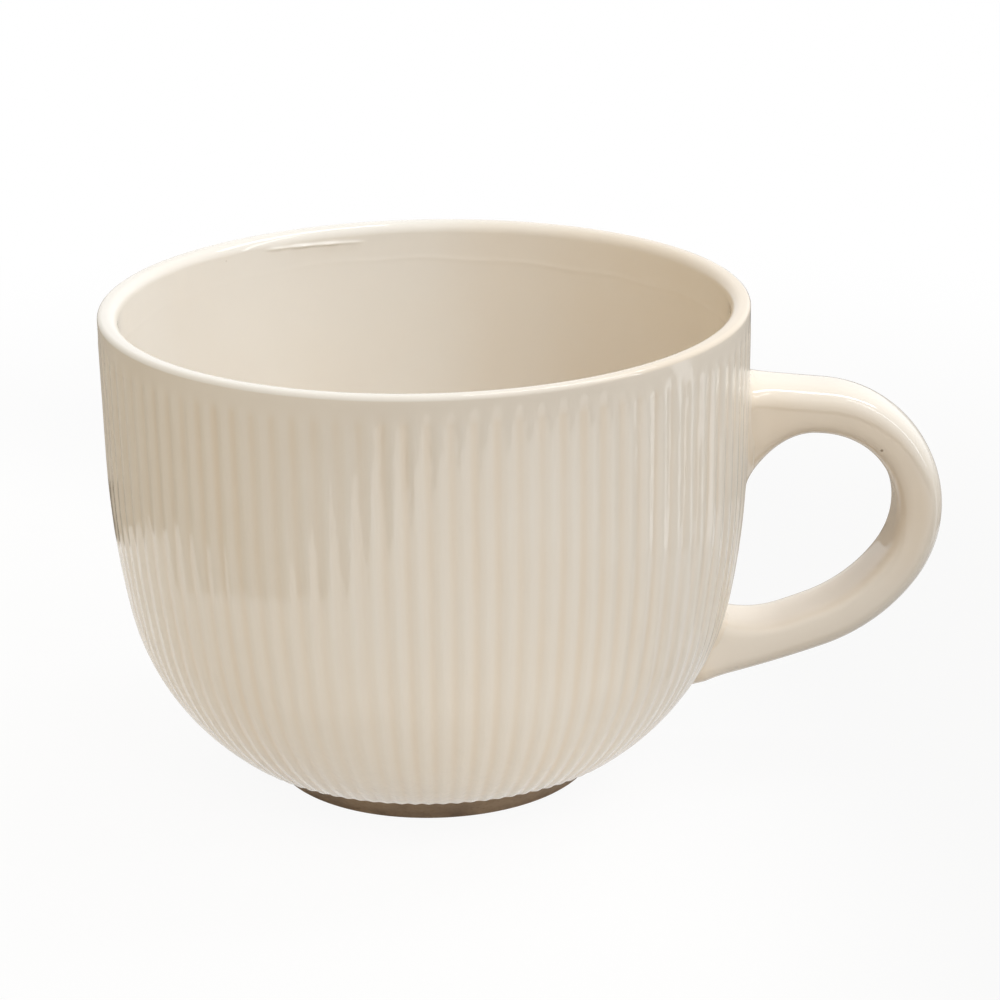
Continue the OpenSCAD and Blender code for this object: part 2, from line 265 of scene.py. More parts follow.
class BowlForm:
    """The bowl's curves, worked out from its sizes. Profiles are in radius and height."""

    def __init__(self, b):
        self.b = b
        self.rim_r = b.rim_d / 2
        self.lip_r = (b.lip_t - b.lip_land) / 2
        self.lip_z = b.height - self.lip_r
        heel_h = b.heel_r * (math.sin(b.heel_a) - math.sin(b.belly_a))
        belly_h = b.belly_r * (math.sin(b.belly_a) - math.sin(b.wall_lean))
        self.wall_z = b.seat_z + heel_h + belly_h
        wall_end = np.array([self.band_radius(self.wall_z) + b.crest_step, self.wall_z])
        self.belly_c = wall_end - spread(b.wall_lean, b.belly_r)
        self.heel_c = self.belly_c + spread(b.belly_a, b.belly_r - b.heel_r)
        self.floor_z = b.seat_z + b.floor_t
        self.flute_top_z = self.lip_z - b.plain_h
        self.outer, self.slopes = self.outside_rows()

    def band_radius(self, z):
        """Radius of the plain leaning wall: the rim's, less the drop times the tangent of the lean."""
        return self.rim_r - (self.lip_z - z) * np.tan(self.b.wall_lean)

    def fade(self, z):
        """Share of the flutes' depth at height z: none in the plain band, then fading in."""
        return ease(1 - (self.flute_top_z - z) / self.b.fade_h)

    def edge_centre(self):
        """Centre of the small round that joins the heel to the flat underside, touching both."""
        b = self.b
        z = b.seat_z + b.edge_r
        reach = math.sqrt((b.heel_r - b.edge_r) ** 2 - (self.heel_c[1] - z) ** 2)
        return np.array([self.heel_c[0] + reach, z]), math.atan2(self.heel_c[1] - z, reach)

    def outside_rows(self):
        """Crest profile from the lower edge up to the lip, with the slope of each row."""
        b = self.b
        edge_c, edge_a = self.edge_centre()
        parts = [slope_arc(edge_c, b.edge_r, math.pi / 2, edge_a, EDGE_ROWS),
                 slope_arc(self.heel_c, b.heel_r, edge_a, b.belly_a, HEEL_ROWS),
                 slope_arc(self.belly_c, b.belly_r, b.belly_a, b.wall_lean, BELLY_ROWS)]
        fade_z = self.flute_top_z - b.fade_h
        levels = np.concatenate([np.linspace(self.wall_z, fade_z, WALL_ROWS + 1)[1:],
                                 np.linspace(fade_z, self.flute_top_z, FADE_ROWS + 1)[1:],
                                 [self.lip_z]])
        wall = np.stack([self.band_radius(levels) + b.crest_step * self.fade(levels), levels], -1)
        points = np.concatenate([parts[0][0], parts[1][0][1:], parts[2][0][1:], wall])
        wall_slopes = np.full(len(wall), b.wall_lean)
        slopes = np.concatenate([parts[0][1], parts[1][1][1:], parts[2][1][1:], wall_slopes])
        return points, slopes

    def lip_rows(self):
        """The rounded lip, from its outer side over the land to its inner side."""
        b = self.b
        outer_c = np.array([self.rim_r - self.lip_r, self.lip_z])
        outer = slope_arc(outer_c, self.lip_r, 0, -math.pi / 2, LIP_ROWS)[0]
        inner_c = np.array([self.rim_r - b.lip_t + b.lip_inner_r, b.height - b.lip_inner_r])
        inner = slope_arc(inner_c, b.lip_inner_r, -math.pi / 2, -math.pi, LIP_ROWS)[0]
        return np.concatenate([outer[1:], inner])

    def lining_rows(self):
        """The inside, from the lip down the wall to the floor."""
        b = self.b
        inner_heel_r = b.heel_r - b.wall_t
        corner_z = self.floor_z + b.floor_round_r
        reach = math.sqrt((inner_heel_r - b.floor_round_r) ** 2 - (self.heel_c[1] - corner_z) ** 2)
        corner_c = np.array([self.heel_c[0] + reach, corner_z])
        corner_a = math.atan2(self.heel_c[1] - corner_z, reach)
        belly = slope_arc(self.belly_c, b.belly_r - b.wall_t, b.wall_lean, b.belly_a, LINING_ROWS // 2)[0]
        heel = slope_arc(self.heel_c, inner_heel_r, b.belly_a, corner_a, LINING_ROWS)[0]
        corner = slope_arc(corner_c, b.floor_round_r, corner_a, math.pi / 2, CORNER_ROWS)[0]
        floor_r = np.linspace(corner_c[0], corner_c[0] / FLOOR_ROWS, FLOOR_ROWS)[1:]
        floor = np.stack([floor_r, np.full_like(floor_r, self.floor_z)], -1)
        top = np.array([self.rim_r - b.lip_t, b.height - b.lip_inner_r])
        at_roll = b.height - b.roll_drop + ROLL_SPAN * np.linspace(1, -1, ROLL_ROWS)
        at_ridge = self.lip_z - b.ridge_drop + b.ridge_w * np.linspace(RIDGE_SPAN, -RIDGE_SPAN, RIDGE_ROWS)
        levels = np.concatenate([at_roll, at_ridge])
        along = np.concatenate([(top[1] - levels) / (top[1] - belly[0, 1]), LINING_SHARES])
        wall = top + along[:, None] * (belly[0] - top)
        return np.concatenate([wall, belly, heel[1:], corner[1:], floor])

    def ridge(self, azimuth, z):
        """Height of the turned ridge off the inside: a bell curve about a level that wanders a little
        round the bowl, highest at the back right and fading towards the front left."""
        b = self.b
        wander = np.sin(3 * azimuth + 2.0) + 0.4 * np.sin(17 * azimuth)
        level = self.lip_z - b.ridge_drop + RIDGE_WANDER * wander
        near = np.clip(np.cos(azimuth - RIDGE_AT), 0, 1) ** 2
        strength = RIDGE_LEAST + (1 - RIDGE_LEAST) * near
        return b.ridge_t * strength * np.exp(-((z - level) / b.ridge_w) ** 2)

    def roll(self, azimuth, z):
        """Height of the glaze that hangs in a roll under the lip at the back left: a bell curve about a
        level that sinks towards the right, broken into a few strokes round the bowl."""
        b = self.b
        turn = (azimuth - ROLL_AT) / ROLL_REACH
        level = b.height - b.roll_drop + ROLL_SINK * turn
        broken = 1 - ROLL_BREAK + ROLL_BREAK * np.sin(ROLL_STROKES * azimuth)
        strokes = np.clip(1 - turn ** 2, 0, 1) * broken
        return b.roll_t * strokes * np.exp(-((z - level) / b.roll_w) ** 2)

    def underside_rows(self):
        """The flat underside, from near the axis out to the lower edge."""
        edge_c, _ = self.edge_centre()
        r = np.linspace(edge_c[0] / FLOOR_ROWS, edge_c[0], FLOOR_ROWS)[:-1]
        return np.stack([r, np.full_like(r, self.b.seat_z)], -1)

    def flute_share(self, azimuth):
        """Share of the flute's depth round the bowl: the cosine of half the flute's turn, to a power,
        with a valley over the handle's plane. Slow waves make the flutes differ a little in depth, and
        they are deepest at the front."""
        b = self.b
        valley = np.abs(np.cos(azimuth * b.flute_n / 2)) ** b.flute_power
        wave = sum(np.sin(count * azimuth + phase) for count, phase in FLUTE_WAVES) / len(FLUTE_WAVES)
        return valley * (1 + b.unevenness * (wave - np.sin(azimuth - DEEP_TURN)))

    def flute_depth(self, radius, z):
        """Depth of a flute's valley, in proportion to the flute's pitch at that radius."""
        return self.b.flute_d * radius / self.rim_r * self.fade(z)

    def outside_radius(self, azimuth, z):
        """Radius of the fluted outside at a height: the crest's, less the cut seen level."""
        crest = np.interp(z, self.outer[:, 1], self.outer[:, 0])
        slope = np.interp(z, self.outer[:, 1], self.slopes)
        cut = self.flute_depth(crest, z) * self.flute_share(azimuth)
        return crest - cut / np.cos(slope)


class HandleForm:
    """The handle's centre line and section, worked out from its sizes and the bowl's curves."""

    def __init__(self, h, bowl):
        self.h = h
        self.bowl = bowl
        b = bowl.b
        upper_r = bowl.band_radius(h.upper_z) + b.crest_step
        lower_r = bowl.heel_c[0] + math.sqrt(b.heel_r ** 2 - (bowl.heel_c[1] - h.lower_z) ** 2)
        self.upper = np.array([upper_r, h.upper_z])
        self.lower = np.array([lower_r, h.lower_z])
        self.bend_l = h.bend_r * h.bend_a
        self.sweep_l = h.sweep_r * h.sweep_a
        self.bend_at = self.upper + h.arm_l * self.heading(-h.arm_drop)
        self.sweep_at = self.turned(self.bend_at, -h.arm_drop, h.bend_r, h.bend_a)
        self.tail_at = self.turned(self.sweep_at, -h.arm_drop - h.bend_a, h.sweep_r, h.sweep_a)
        self.tail_l = np.linalg.norm(self.lower - self.tail_at)
        self.tail_run = self.tail_l * self.heading(-h.arm_drop - h.bend_a - h.sweep_a)
        self.tail_bow = self.lower - self.tail_at - self.tail_run
        self.length = h.arm_l + self.bend_l + self.sweep_l + self.tail_l

    @staticmethod
    def heading(a):
        """Direction of heading a in X and Z."""
        return np.stack([np.cos(a), np.sin(a)], -1)

    @staticmethod
    def turned(point, a, radius, turn):
        """End of an arc that leaves a point with heading a and turns right."""
        side = np.stack([np.sin(a) - np.sin(a - turn), np.cos(a - turn) - np.cos(a)], -1)
        return point + radius * side

    def along(self, d):
        """Place and heading at distance d from the upper root: an arm, a bend, a sweep and a tail that
        bows to the lower root."""
        h = self.h
        start_a = -h.arm_drop
        bend_turn = (d - h.arm_l) / h.bend_r
        sweep_turn = (d - h.arm_l - self.bend_l) / h.sweep_r
        u = ((d - self.length) / self.tail_l + 1)[..., None]
        way = self.tail_run + 2 * u * self.tail_bow
        tail_a = np.arctan2(way[..., 1], way[..., 0])
        legs = [d < h.arm_l, d < h.arm_l + self.bend_l, d < self.length - self.tail_l]
        arm = self.upper + d[..., None] * self.heading(start_a)
        bend = self.turned(self.bend_at, start_a, h.bend_r, bend_turn)
        sweep = self.turned(self.sweep_at, start_a - h.bend_a, h.sweep_r, sweep_turn)
        tail = self.tail_at + u * (self.tail_run + u * self.tail_bow)
        place = np.select([leg[..., None] for leg in legs], [arm, bend, sweep], tail)
        a = np.select(legs, [start_a, start_a - bend_turn, start_a - h.bend_a - sweep_turn], tail_a)
        return place, a

    def surface(self, d, turn, extra=0.0):
        """Points of the handle's skin at distance d and section angle turn, grown by extra: a blunt oval,
        deeper on its inner side by the webs and wider by the flares near each root. The finger side grows
        flatter on the way from the bend to the lower arm."""
        h = self.h
        place, a = self.along(d)
        at = np.clip(d, 0, self.length)
        low = self.length - at
        half_t = (h.thickness + (h.low_thickness - h.thickness) * at / self.length) / 2 + extra
        web = (h.upper_web * ease(at / h.upper_web_l, h.web_fullness)
               + h.lower_web * ease(low / h.lower_web_l, h.web_fullness))
        half_w = h.width / 2 + extra + h.flare * (ease(at / h.flare_l) + ease(low / h.flare_l))
        c, s = np.cos(turn), np.sin(turn)
        grown = 1 - ease((at / self.length - FLAT_FROM) / FLAT_RUN)
        flat = FLAT_LEAST + (1 - FLAT_LEAST) * grown
        blunt = np.where(c < 0, h.bluntness + (h.inner_bluntness - h.bluntness) * flat, h.bluntness)
        finger_t = half_t - h.finger_drop * at / self.length + web
        u = np.sign(c) * np.abs(c) ** blunt * np.where(c < 0, finger_t, half_t)
        v = np.sign(s) * np.abs(s) ** blunt * half_w
        return np.stack([place[..., 0] - u * np.sin(a), v, place[..., 1] + u * np.cos(a)], -1)

    def root(self, turn, near, extra=0.0):
        """Distance along the handle at which its skin meets the fluted wall, by halving the span between a
        place inside the wall and one outside it."""
        inside = np.where(near == 0, -self.h.arm_l, self.length + self.h.arm_l) + 0 * turn
        outside = np.where(near == 0, self.h.arm_l, self.length - self.h.arm_l) + 0 * turn
        for _ in range(HALVINGS):
            middle = (inside + outside) / 2
            clear = self.clearance(self.surface(middle, turn, extra)) > 0
            outside = np.where(clear, middle, outside)
            inside = np.where(clear, inside, middle)
        return (inside + outside) / 2

    def clearance(self, points):
        """Distance of points out from the fluted wall, measured level."""
        radius = np.hypot(points[..., 0], points[..., 1])
        azimuth = np.arctan2(points[..., 1], points[..., 0])
        return radius - self.bowl.outside_radius(azimuth, points[..., 2])


def turns(count):
    """Angles of a full turn in even steps."""
    return np.arange(count) * 2 * math.pi / count


def ring_faces(rows, columns, closed_rows=False):
    """Quads of a grid whose columns close on themselves, and its rows too where asked."""
    i = np.arange(rows if closed_rows else rows - 1)[:, None]
    j = np.arange(columns)[None, :]
    a, b = i * columns + j, i * columns + (j + 1) % columns
    up = ((i + 1) % rows - i) * columns
    return np.stack([a, b, b + up, a + up], -1).reshape(-1, 4)


def pole_faces(pole, ring):
    """Triangles from a pole to a ring of points."""
    return np.stack([np.full_like(ring, pole), ring, np.roll(ring, -1)], -1)


def add_object(name, data):
    """A new object in the scene."""
    added = bpy.data.objects.new(name, data)
    bpy.context.scene.collection.objects.link(added)
    return added


def make_piece(name, grid, attributes=None, closed_rows=False):
    """Mesh of a grid of points whose columns close on themselves. Open ends are closed with poles at the
    middle of the end rings, and the faces are turned so that the volume inside is positive."""
    rows, columns = grid.shape[:2]
    points = grid.reshape(-1, 3)
    quads = ring_faces(rows, columns, closed_rows)
    triangles = np.empty((0, 3), int)
    if not closed_rows:
        first, last = np.arange(columns), np.arange(columns) + (rows - 1) * columns
        points = np.concatenate([points, grid[:1].mean(1), grid[-1:].mean(1)])
        low, high = pole_faces(len(points) - 2, first), pole_faces(len(points) - 1, last)
        triangles = np.concatenate([low[:, ::-1], high])
    split = np.concatenate([quads[:, [0, 1, 2]], quads[:, [0, 2, 3]], triangles])
    corners = points[split]
    volume = np.einsum("ij,ij->", corners[:, 0], np.cross(corners[:, 1], corners[:, 2]))
    if volume < 0:
        quads, triangles = quads[:, ::-1], triangles[:, ::-1]
    mesh = bpy.data.meshes.new(name)
    mesh.from_pydata(points.tolist(), [], quads.tolist() + triangles.tolist())
    mesh.validate()
    mesh.shade_smooth()
    for key, values in (attributes or {}).items():
        padded = np.zeros(len(points), np.float32)
        padded[:values.size] = values.ravel()
        mesh.attributes.new(key, "FLOAT", "POINT").data.foreach_set("value", padded)
    return add_object(name, mesh)


def dress(piece, material, node):
    """Gives a piece its material and its body, and hides the solid that it stands for."""
    piece.data.materials.append(material)
    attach(piece, BODY)
    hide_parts(node)


def add_node(tree, kind, inputs=None, **settings):
    """A node with its settings, and its inputs set to values or linked to sockets."""
    node = tree.nodes.new(kind)
    for key, value in settings.items():
        setattr(node, key, value)
    for key, value in (inputs or {}).items():
        if isinstance(value, bpy.types.NodeSocket):
            tree.links.new(value, node.inputs[key])
        else:
            node.inputs[key].default_value = value
    return node


def math_node(tree, operation, first, second=0.0):
    """Output of one sum on two values or sockets."""
    return add_node(tree, "ShaderNodeMath", {0: first, 1: second}, operation=operation).outputs[0]


def ramp_node(tree, value, start, stop, low=0.0, high=1.0):
    """Output that goes smoothly from low to high as value goes from start to stop."""
    inputs = {"Value": value, "From Min": start, "From Max": stop, "To Min": low, "To Max": high}
    return add_node(tree, "ShaderNodeMapRange", inputs, interpolation_type="SMOOTHSTEP").outputs["Result"]


def vector_node(tree, operation, first, second=(0, 0, 0)):
    """Node of one sum on two vectors or sockets."""
    return add_node(tree, "ShaderNodeVectorMath", {0: first, 1: second}, operation=operation)


def mix_node(tree, factor, first, second):
    """Colour mixed from two colours or sockets."""
    inputs = {0: factor, 6: first, 7: second}
    return add_node(tree, "ShaderNodeMix", inputs, data_type="RGBA").outputs[2]


def noise_node(tree, vector, scale, detail=2.0, roughness=0.5):
    """Value of a noise with that many features to the metre."""
    inputs = {"Vector": vector, "Scale": scale, "Detail": detail, "Roughness": roughness}
    return add_node(tree, "ShaderNodeTexNoise", inputs).outputs[0]


def new_group(name, inputs):
    """A shader node group with named values going in and a colour, a roughness and a height coming out.
    Its input node comes with it."""
    group = bpy.data.node_groups.new(name, "ShaderNodeTree")
    for label, value in inputs.items():
        socket = group.interface.new_socket(label, in_out="INPUT", socket_type="NodeSocketFloat")
        socket.default_value = value
    for label, kind in (("Colour", "Color"), ("Roughness", "Float"), ("Height", "Float")):
        group.interface.new_socket(label, in_out="OUTPUT", socket_type="NodeSocket" + kind)
    return group, group.nodes.new("NodeGroupInput")


def close_group(group, *results):
    """Links a colour, a roughness and a height to the group's outputs."""
    sink = group.nodes.new("NodeGroupOutput")
    for socket, result in zip(sink.inputs, results):
        group.links.new(result, socket)


def new_material(name):
    """A material with nodes, and its tree."""
    material = bpy.data.materials.new(name)
    material.use_nodes = True
    return material, material.node_tree


def rgba(values):
    """A colour with its alpha."""
    return (*values, 1.0)


def glaze_group(f):
    """Node group of the glaze: cream that is paler where it is thin and warmer where it pools, clouded at
    the scale of a thumb, with a few sunken iron specks, a soft waviness, upright runs and a slightly
    uneven gloss."""
    inputs = {"Thickness": 0.5, "Clouding": 0.5, "Specks": 1.0, "Runs": 0.3}
    group, source = new_group("Cream glaze", inputs)
    place = add_node(group, "ShaderNodeTexCoord").outputs["Object"]
    cloud = math_node(group, "SUBTRACT", noise_node(group, place, 45, 3), 0.5)
    drift = math_node(group, "MULTIPLY", cloud, source.outputs["Clouding"])
    thick = math_node(group, "ADD", source.outputs["Thickness"], drift)
    body = mix_node(group, ramp_node(group, thick, 0.0, 0.5), rgba(f.thin), rgba(f.cream))
    body = mix_node(group, ramp_node(group, thick, 0.5, 1.0), body, rgba(f.pooled))
    cells = add_node(group, "ShaderNodeTexVoronoi", {"Vector": place, "Scale": 130.0, "Randomness": 1.0})
    dot = ramp_node(group, cells.outputs["Distance"], 0.05, 0.018)
    chosen = add_node(group, "ShaderNodeSeparateColor", {0: cells.outputs["Color"]}).outputs[0]
    rare = ramp_node(group, chosen, 0.93, 0.96)
    speck = math_node(group, "MULTIPLY", dot, rare)
    speck = math_node(group, "MULTIPLY", speck, source.outputs["Specks"])
    body = mix_node(group, speck, body, rgba(f.speck))
    gloss = noise_node(group, place, 160, 2)
    wave = noise_node(group, place, 260, 2, 0.4)
    swell = noise_node(group, place, 90, 1, 0.3)
    tall = vector_node(group, "MULTIPLY", place, (1.0, 1.0, 0.22)).outputs["Vector"]
    runs = math_node(group, "MULTIPLY", noise_node(group, tall, 450, 2, 0.5), source.outputs["Runs"])
    height = math_node(group, "ADD", math_node(group, "MULTIPLY", wave, 0.35), swell)
    height = math_node(group, "ADD", height, runs)
    height = math_node(group, "SUBTRACT", height, math_node(group, "MULTIPLY", speck, 0.6))
    close_group(group, body, ramp_node(group, gloss, 0.3, 0.75, 0.03, 0.07), height)
    return group


def clay_group(f):
    """Node group of the bare clay: fine grog, dark patches that grow towards the table and a dry, rough
    surface.
    """
    group, source = new_group("Bare clay", {"Lowness": 0.5})
    place = add_node(group, "ShaderNodeTexCoord").outputs["Object"]
    grog = noise_node(group, place, 1500, 3, 0.6)
    stain = noise_node(group, place, 120, 4, 0.6)
    dark_patches = math_node(group, "MULTIPLY", ramp_node(group, stain, 0.35, 0.7), source.outputs["Lowness"])
    body = mix_node(group, dark_patches, rgba(f.clay), rgba(f.clay_dark))
    body = mix_node(group, ramp_node(group, grog, 0.55, 0.75, 0.0, 0.5), body, rgba(f.clay_dark))
    close_group(group, body, ramp_node(group, grog, 0.3, 0.7, 0.72, 0.92), grog)
    return group


def group_material(name, group, inputs, strength):
    """Material whose colour, roughness and bump come from a node group. An input is a value, or the name
    of an attribute of the piece."""
    material, tree = new_material(name)
    shader = tree.nodes["Principled BSDF"]
    finish = add_node(tree, "ShaderNodeGroup", node_tree=group)
    for key, value in inputs.items():
        if isinstance(value, str):
            source = add_node(tree, "ShaderNodeAttribute", attribute_name=value)
            tree.links.new(source.outputs["Fac"], finish.inputs[key])
        else:
            finish.inputs[key].default_value = value
    relief = {"Height": finish.outputs["Height"], "Strength": strength, "Distance": BUMP}
    bump = add_node(tree, "ShaderNodeBump", relief)
    tree.links.new(finish.outputs["Colour"], shader.inputs["Base Color"])
    tree.links.new(finish.outputs["Roughness"], shader.inputs["Roughness"])
    tree.links.new(bump.outputs["Normal"], shader.inputs["Normal"])
    return material


def glaze_material(name, f):
    """Glossy cream glaze whose thickness and runs follow the piece's attributes. On the lip, the lining
    and the handle the thickness also carries painted light and shade.
    """
    group = bpy.data.node_groups.get("Cream glaze") or glaze_group(f)
    inputs = {"Thickness": "thickness", "Clouding": CLOUDING, "Specks": 1.0, "Runs": "runs"}
    material = group_material(name, group, inputs, GLAZE_BUMP)
    material.node_tree.nodes["Principled BSDF"].inputs["IOR"].default_value = GLAZE_IOR
    return material


def clay_material(name, f):
    """Bare fired clay, with dark patches that grow towards the table."""
    group = bpy.data.node_groups.get("Bare clay") or clay_group(f)
    return group_material(name, group, {"Lowness": "lowness"}, CLAY_BUMP)


class MUG_OT_bowl(Operator):
    """Build the fluted bowl with its lip, lining and underside as one closed surface"""
    bl_idname = "mug.bowl"
    bl_label = "Bowl"

    def execute(self, context):
        form = BowlForm(context.scene.mug_bowl)
        under, lip, lining = form.underside_rows(), form.lip_rows(), form.lining_rows()
        profile = np.concatenate([under, form.outer, lip, lining])
        azimuth = turns(form.b.flute_n * FLUTE_COLUMNS)
        outside = slice(len(under), len(under) + len(form.outer))
        depth = np.zeros(len(profile))
        slope = np.zeros(len(profile))
        depth[outside] = form.flute_depth(form.outer[:, 0], form.outer[:, 1])
        slope[outside] = form.slopes
        cut = depth[:, None] * form.flute_share(azimuth)
        radius = profile[:, :1] - cut * np.cos(slope)[:, None]
        z = profile[:, 1:] + cut * np.sin(slope)[:, None]
        inside = slice(len(profile) - len(lining), len(profile))
        radius[inside] -= form.ridge(azimuth, z[inside]) + form.roll(azimuth, z[inside])
        grid = np.stack([radius * np.cos(azimuth), radius * np.sin(azimuth), z], -1)
        fade = form.fade(form.outer[:, 1])[:, None]
        thickness = np.full(radius.shape, BAND_GLAZE)
        fluted = CREST_GLAZE + VALLEY_MORE * form.flute_share(azimuth)
        thickness[outside] = BAND_GLAZE * (1 - fade) + fade * fluted
        # Painted light and shade on the lip and inside: thin, pale glaze on the left, pooled and dark on
        # the right
        lean = np.clip(LINING_SHADE_SHIFT + grid[outside.stop:, :, 0] / form.rim_r, 0, 1)
        thickness[outside.stop:] = LINING_GLAZE + LINING_SHADE * lean * lean * (3 - 2 * lean)
        runs = np.zeros(radius.shape)
        runs[outside] = WALL_RUNS * fade
        piece = make_piece("bowl_glazed", grid, {"thickness": thickness, "runs": runs})
        dress(piece, glaze_material("Bowl glaze", context.scene.mug_finish), "bowl")
        return {"FINISHED"}


class MUG_OT_foot_ring(Operator):
    """Build the bare foot ring as a turned profile"""
    bl_idname = "mug.foot_ring"
    bl_label = "Foot ring"

    def execute(self, context):
        s = context.scene.mug_foot
        b = context.scene.mug_bowl
        form = BowlForm(b)
        seat_r = form.heel_c[0] + b.heel_r * math.cos(b.heel_a)
        top_r = seat_r - s.inset
        low_r = top_r - s.draw
        in_r = low_r - s.width
        outer_c = np.array([low_r - s.edge_r, s.edge_r])
        inner_c = np.array([in_r + s.edge_r, s.edge_r])
        outer = slope_arc(outer_c, s.edge_r, math.pi / 2, 0, FOOT_EDGE_ROWS)[0]
        inner = slope_arc(inner_c, s.edge_r, math.pi, math.pi / 2, FOOT_EDGE_ROWS)[0]
        rise = np.linspace(outer[-1], [top_r, b.seat_z], FOOT_EDGE_ROWS)[1:]
        fall = np.linspace([in_r, b.seat_z], inner[0], FOOT_EDGE_ROWS)[:-1]
        profile = np.concatenate([outer, rise, fall, inner])
        azimuth = turns(FOOT_COLUMNS)
        radius, z = profile[:, :1] + 0 * azimuth, profile[:, 1:] + 0 * azimuth
        grid = np.stack([radius * np.cos(azimuth), radius * np.sin(azimuth), z], -1)
        # The dark patches grow towards the table, from their least share at the seat
        lowness = np.clip(1 - z / b.seat_z, LOWNESS_LEAST, 1)
        piece = make_piece("foot_ring_bare", grid, {"lowness": lowness}, closed_rows=True)
        dress(piece, clay_material("Foot clay", context.scene.mug_finish), "foot_ring")
        return {"FINISHED"}


class MUG_OT_handle(Operator):
    """Build the loop handle as a blunt oval carried along its centre line"""
    bl_idname = "mug.handle"
    bl_label = "Handle"

    def execute(self, context):
        h = context.scene.mug_handle
        form = HandleForm(h, BowlForm(context.scene.mug_bowl))
        turn = turns(HANDLE_POINTS)
        start, stop = form.root(turn, 0) - h.embed, form.root(turn, 1) + h.embed
        d = start + (stop - start) * np.linspace(0, 1, HANDLE_RINGS)[:, None]
        grid = form.surface(d, turn + 0 * d)
        near = np.minimum(d, form.length - d) / h.flare_l
        heading = form.along(d)[1]
        bend, run = np.clip(-np.sin(heading), 0, 1), np.cos(heading)
        outer, side = np.clip(np.cos(turn), 0, 1), np.sin(turn) ** 2
        # Painted light and shade: thin pale glaze on tops, outer bend and lower sides, pooled dark below
        thickness = HANDLE_GLAZE + ROOT_MORE * ease(near) - PAINTED_TOP_LIGHT * np.cos(turn) * run
        thickness -= PAINTED_BEND_LIGHT * outer * bend + PAINTED_SIDE_LIGHT * side * np.clip(-run, 0, 1)
        piece = make_piece("handle_glazed", grid, {"thickness": thickness})
        dress(piece, glaze_material("Handle glaze", context.scene.mug_finish), "handle")
        return {"FINISHED"}


class MUG_OT_slip_joints(Operator):
    """Build the slip at both roots as a glazed fillet between the handle and the flutes"""
    bl_idname = "mug.slip_joints"
    bl_label = "Slip joints"

    def execute(self, context):
        h = context.scene.mug_handle
        form = HandleForm(h, BowlForm(context.scene.mug_bowl))
        turn = turns(COLLAR_POINTS)
        for name, near, way in (("upper_slip_joint", 0, 1), ("lower_slip_joint", 1, -1)):
            grid = self.fillet(form, turn, near, way)
            thickness = np.full(grid.shape[:2], SLIP_GLAZE)
            piece = make_piece(name + "_glazed", grid, {"thickness": thickness}, closed_rows=True)
            dress(piece, glaze_material(name + " glaze", context.scene.mug_finish), name)
        return {"FINISHED"}

    @staticmethod
    def fillet(form, turn, near, way):
        """Rings of a fillet: a curve from the handle's skin to the wall that bends at their meeting line,
        closed behind it inside the handle and the wall."""
        h = form.h
        root = form.root(turn, near)
        foot = form.surface(root, turn)
        rise = form.surface(root + way * h.collar_l, turn, -RISE_SINK)
        reach = form.surface(form.root(turn, near, h.collar_w), turn, h.collar_w)
        inner = form.surface(root - way * h.embed / 2, turn, -INNER_SINK)
        outward = np.stack([reach[:, 0], reach[:, 1], 0 * turn], -1)
        outward /= np.linalg.norm(outward, axis=1)[:, None]
        reach = reach - REACH_SINK * outward
        t = np.linspace(0, 1, COLLAR_ROWS)[:, None, None]
        curve = (1 - t) ** 2 * rise + 2 * t * (1 - t) * foot + t ** 2 * reach
        sunk = reach - BACK_SINK * outward
        back = form.surface(root + way * h.collar_l * BACK_SHARE, turn, -BACK_SINK)
        return np.concatenate([curve, sunk[None], inner[None], back[None]])


def camera_axes(s):
    """Place and axes of the camera: it stands back from the bowl's axis along -Y, raised, and is turned
    until the aim point lies at its pixel, then rolled."""
    sight = Vector((0, math.cos(s.camera_rise), -math.sin(s.camera_rise)))
    place = Vector((0, 0, s.aim_z)) - s.camera_distance * sight
    right = Vector((1, 0, 0))
    up = right.cross(sight)
    across = (s.aim_px[0] - s.picture_px / 2) / s.focal_px
    down = (s.aim_px[1] - s.picture_px / 2) / s.focal_px
    yaw = Matrix.Rotation(math.atan(across), 3, up)
    sight, right = yaw @ sight, yaw @ right
    pitch = Matrix.Rotation(math.atan(down / math.hypot(1, across)), 3, right)
    sight, up = pitch @ sight, pitch @ up
    c, n = math.cos(s.camera_roll), math.sin(s.camera_roll)
    right, up = right * c + up * n, up * c - right * n
    return place, Matrix((right, up, -sight)).transposed()


